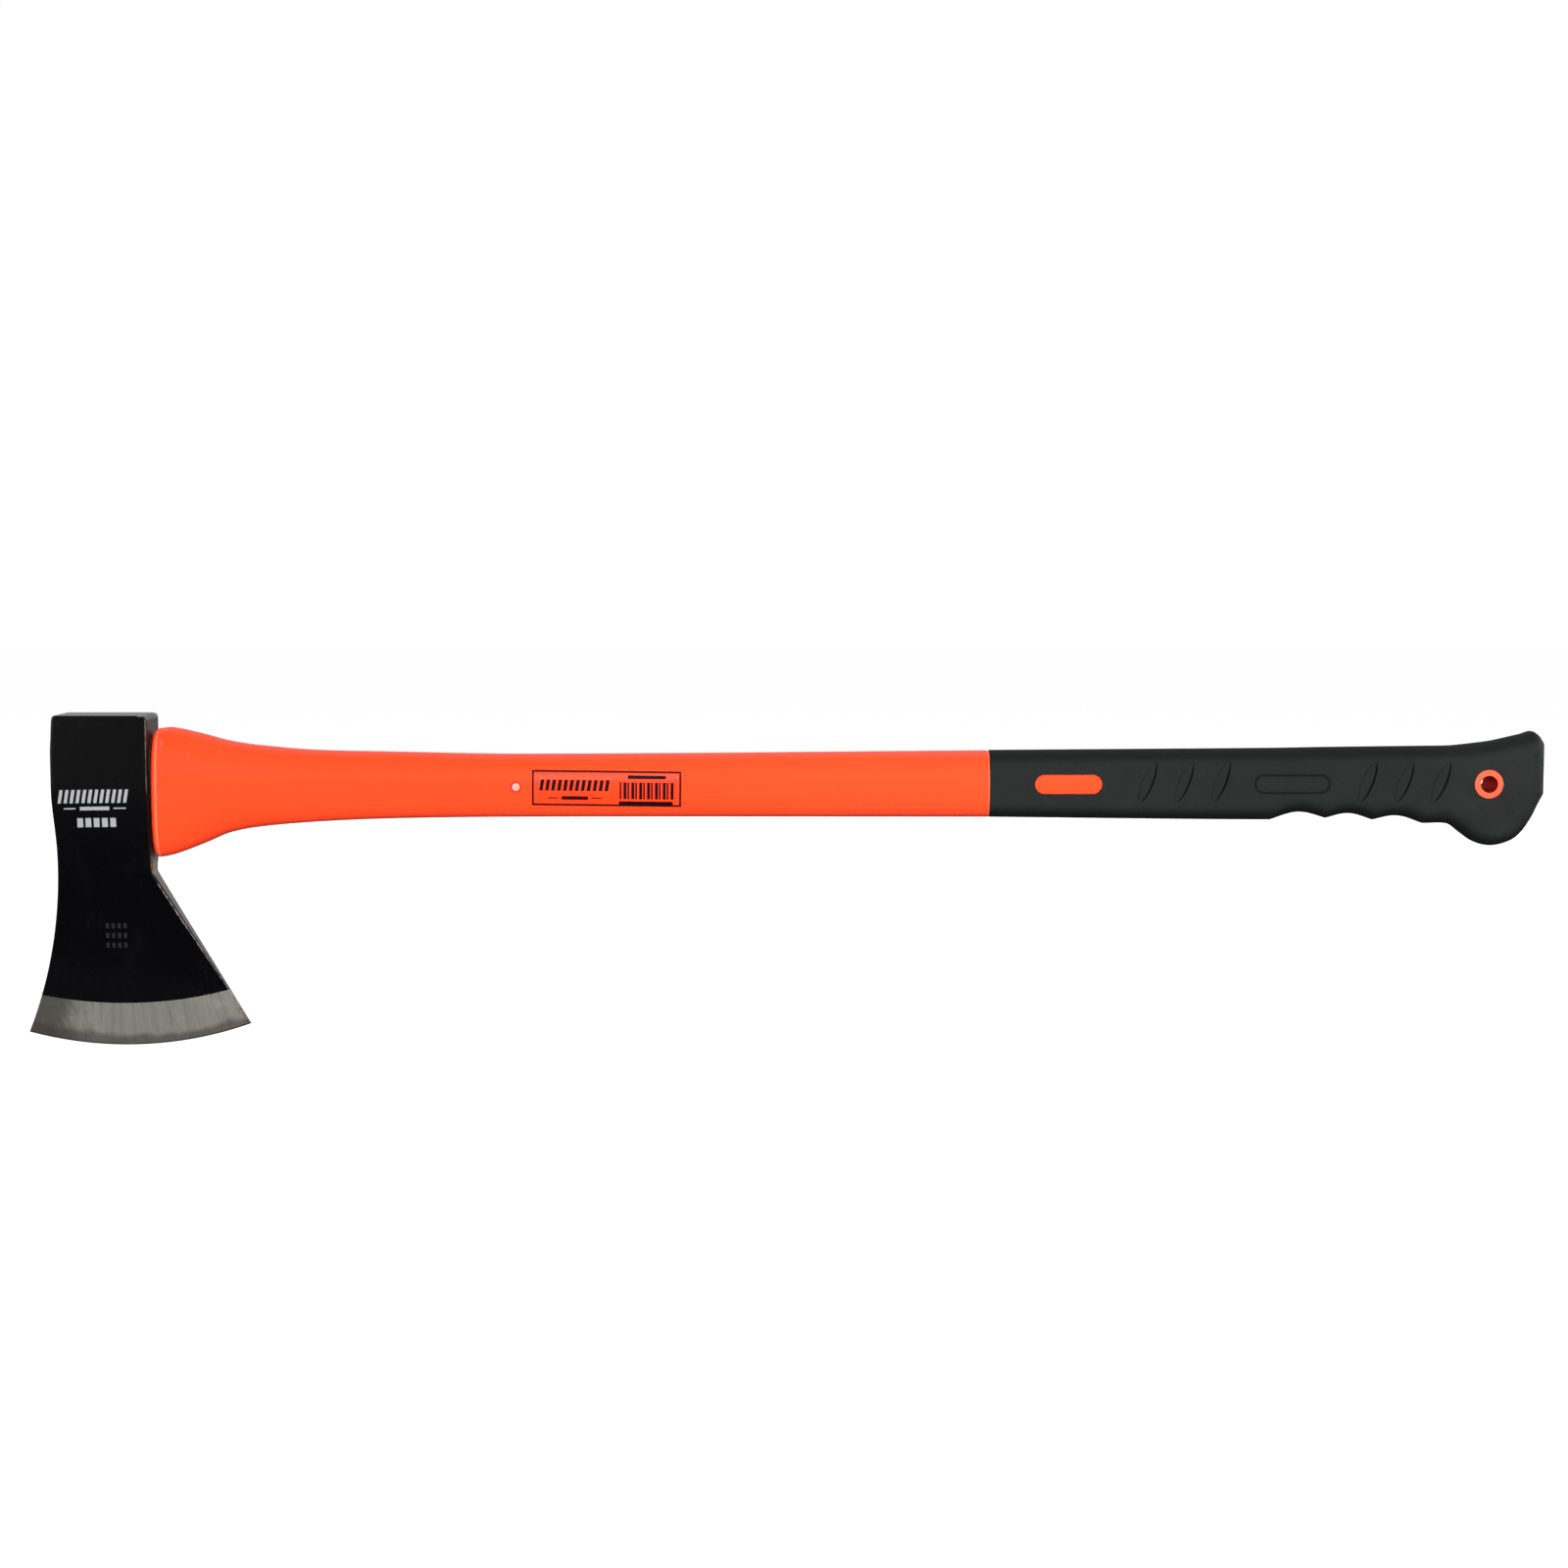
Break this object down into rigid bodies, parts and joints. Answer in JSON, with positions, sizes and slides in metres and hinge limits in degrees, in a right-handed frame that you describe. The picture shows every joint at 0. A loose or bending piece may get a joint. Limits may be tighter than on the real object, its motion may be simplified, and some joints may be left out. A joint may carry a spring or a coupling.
{
  "type": "felling axe",
  "caption": "Felling axe with a black forged head and bare ground bevel, an orange moulded handle jacket with a flared collar, and a black rubber grip with a hooked butt and hang hole.",
  "frame": {"origin": "middle of the poll face, the flat top of the head, over the head's eye", "axes": "+Z out of the poll with the cutting edge below, +X along the handle towards the butt, +Y across the head; the handle axis is at Z = -37 mm and the axe is symmetric about Y = 0"},
  "size_m": [0.7983, 0.0314, 0.1755],
  "materials": {
    "black_lacquer": "black lacquer over forged steel, the ground bevel left bare",
    "resin": "cured resin",
    "seal_rubber": "matt",
    "fibreglass": "pultruded glass fibre in resin",
    "orange_plastic": "satin moulded plastic, fluorescent orange",
    "grip_rubber": "fine matt, moulded",
    "label": "printed clear film"
  },
  "bodies": {
    "root": {"axe_head": "black_lacquer", "eye_resin": "resin", "eye_seal": "seal_rubber", "fibreglass_core": "fibreglass", "handle_jacket": "orange_plastic", "rubber_grip": "grip_rubber", "label_film": "label"}
  },
  "joints": []
}
